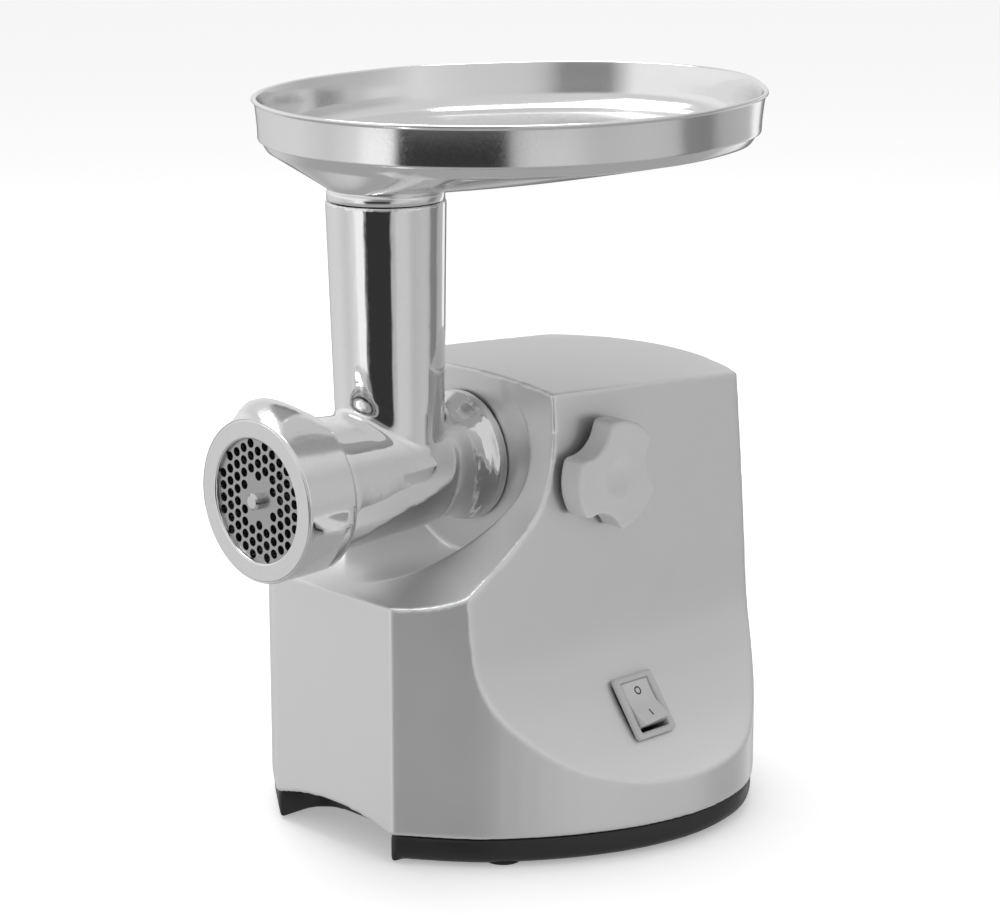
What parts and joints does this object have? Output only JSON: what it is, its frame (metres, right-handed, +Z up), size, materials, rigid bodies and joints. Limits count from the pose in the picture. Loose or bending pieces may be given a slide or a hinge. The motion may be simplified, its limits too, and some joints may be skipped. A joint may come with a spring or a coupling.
{
  "type": "electric meat grinder",
  "caption": "Electric meat grinder with a satin metal body, a polished grinding head and feed tube, an egg-shaped hopper tray, a lock knob and a rocker switch.",
  "frame": {"origin": "middle of the bounding box on the floor", "axes": "+Z up, -Y towards the mincing plate, +X towards the lock knob and switch"},
  "size_m": [0.2518, 0.3229, 0.3375],
  "materials": {
    "housing_metal": "fine satin brushed",
    "black_plastic": "matt moulded",
    "grey_plastic": "satin moulded",
    "rubber_black": "matt",
    "polished_cast": "polished casting",
    "polished_sheet": "polished sheet",
    "cutting_steel": "ground",
    "cast_alloy": "as cast",
    "shaft_steel": "ground",
    "gear_steel": "machined",
    "screw_steel": "zinc plated",
    "bush_brass": "sintered",
    "core_steel": "stacked sheets",
    "copper_wire": "enamelled",
    "carbon": "pressed",
    "white_plastic": "moulded",
    "board_green": "laminate",
    "part_dark": "moulded"
  },
  "bodies": {
    "base": {"base_plate": "black_plastic", "base_plinth": "black_plastic", "base_posts": "white_plastic", "base_screws": "screw_steel", "bearing_bracket": "cast_alloy", "board_standoffs": "white_plastic", "brush_holders": "bush_brass", "brush_springs": "copper_wire", "carbon_brushes": "carbon", "cord_bushing": "black_plastic", "field_coils": "copper_wire", "filter_board": "board_green", "filter_capacitor": "part_dark", "filter_choke": "part_dark", "gearbox_case": "cast_alloy", "gearbox_cover": "cast_alloy", "gearbox_screws": "screw_steel", "housing_shell": "housing_metal", "intermediate_bushes": "bush_brass", "motor_bearings": "shaft_steel", "motor_bolts": "screw_steel", "motor_cradle": "cast_alloy", "motor_dampers": "rubber_black", "output_bushes": "bush_brass", "rear_bracket": "cast_alloy", "rubber_feet": "rubber_black", "socket_ring": "cast_alloy", "socket_ring_screws": "screw_steel", "stator_core": "core_steel", "switch_frame": "grey_plastic", "switch_pivot_pin": "shaft_steel", "switch_terminals": "bush_brass", "thermal_cutout": "part_dark"},
    "lock": {"lock_knob": "grey_plastic", "lock_screw": "shaft_steel"},
    "rocker": {"switch_rocker": "grey_plastic"},
    "tray": {"hopper_tray": "polished_sheet"},
    "head": {"grinder_head": "polished_cast", "mincing_plate": "cutting_steel", "thrust_washer": "white_plastic"},
    "nut": {"ring_nut": "polished_cast"},
    "feed": {"feed_screw": "polished_cast", "screw_stud": "cutting_steel", "drive_tail": "cutting_steel", "cutter_knife": "cutting_steel"},
    "output": {"output_shaft": "shaft_steel", "output_key": "shaft_steel", "output_gear": "gear_steel"},
    "intermediate": {"intermediate_shaft": "shaft_steel", "intermediate_gear": "gear_steel", "intermediate_pinion": "gear_steel"},
    "armature": {"motor_shaft": "shaft_steel", "motor_pinion": "gear_steel", "armature_core": "core_steel", "armature_windings": "copper_wire", "commutator": "copper_wire", "cooling_fan": "white_plastic"}
  },
  "joints": [
    {"name": "tray_lift", "type": "slide", "parent": "head", "child": "tray", "axis": [0, 0, 1], "range_m": [0, 0.06]},
    {"name": "head_pull", "type": "slide", "parent": "base", "child": "head", "axis": [0, -1, 0], "range_m": [0, 0.09]},
    {"name": "nut_turn", "type": "hinge", "parent": "head", "child": "nut", "pos_m": [0.00713, -0.14536, 0.172], "axis": [0, 1, 0], "range_deg": [0, 720]},
    {"name": "feed_spin", "type": "hinge", "parent": "head", "child": "feed", "pos_m": [0.00713, -0.09935, 0.172], "axis": [0, 1, 0], "continuous": true},
    {"name": "lock_turn", "type": "hinge", "parent": "base", "child": "lock", "pos_m": [0.06713, -0.01136, 0.172], "axis": [1, 0, 0], "range_deg": [0, 540]},
    {"name": "rocker_tilt", "type": "hinge", "parent": "base", "child": "rocker", "pos_m": [0.09219, -0.00136, 0.05836], "axis": [0, 1, 0], "range_deg": [0, 22]},
    {"name": "output_spin", "type": "hinge", "parent": "base", "child": "output", "pos_m": [0.00713, 0.01665, 0.172], "axis": [0, 1, 0], "continuous": true},
    {"name": "intermediate_spin", "type": "hinge", "parent": "base", "child": "intermediate", "pos_m": [0.02513, 0.02065, 0.14082], "axis": [0, 1, 0], "continuous": true},
    {"name": "armature_spin", "type": "hinge", "parent": "base", "child": "armature", "pos_m": [0.00713, 0.06564, 0.10454], "axis": [0, 1, 0], "continuous": true}
  ],
  "couplings": [
    {"joint": "feed_spin", "follows": "output_spin", "ratio": 1},
    {"joint": "intermediate_spin", "follows": "output_spin", "ratio": -3},
    {"joint": "armature_spin", "follows": "output_spin", "ratio": 24}
  ]
}
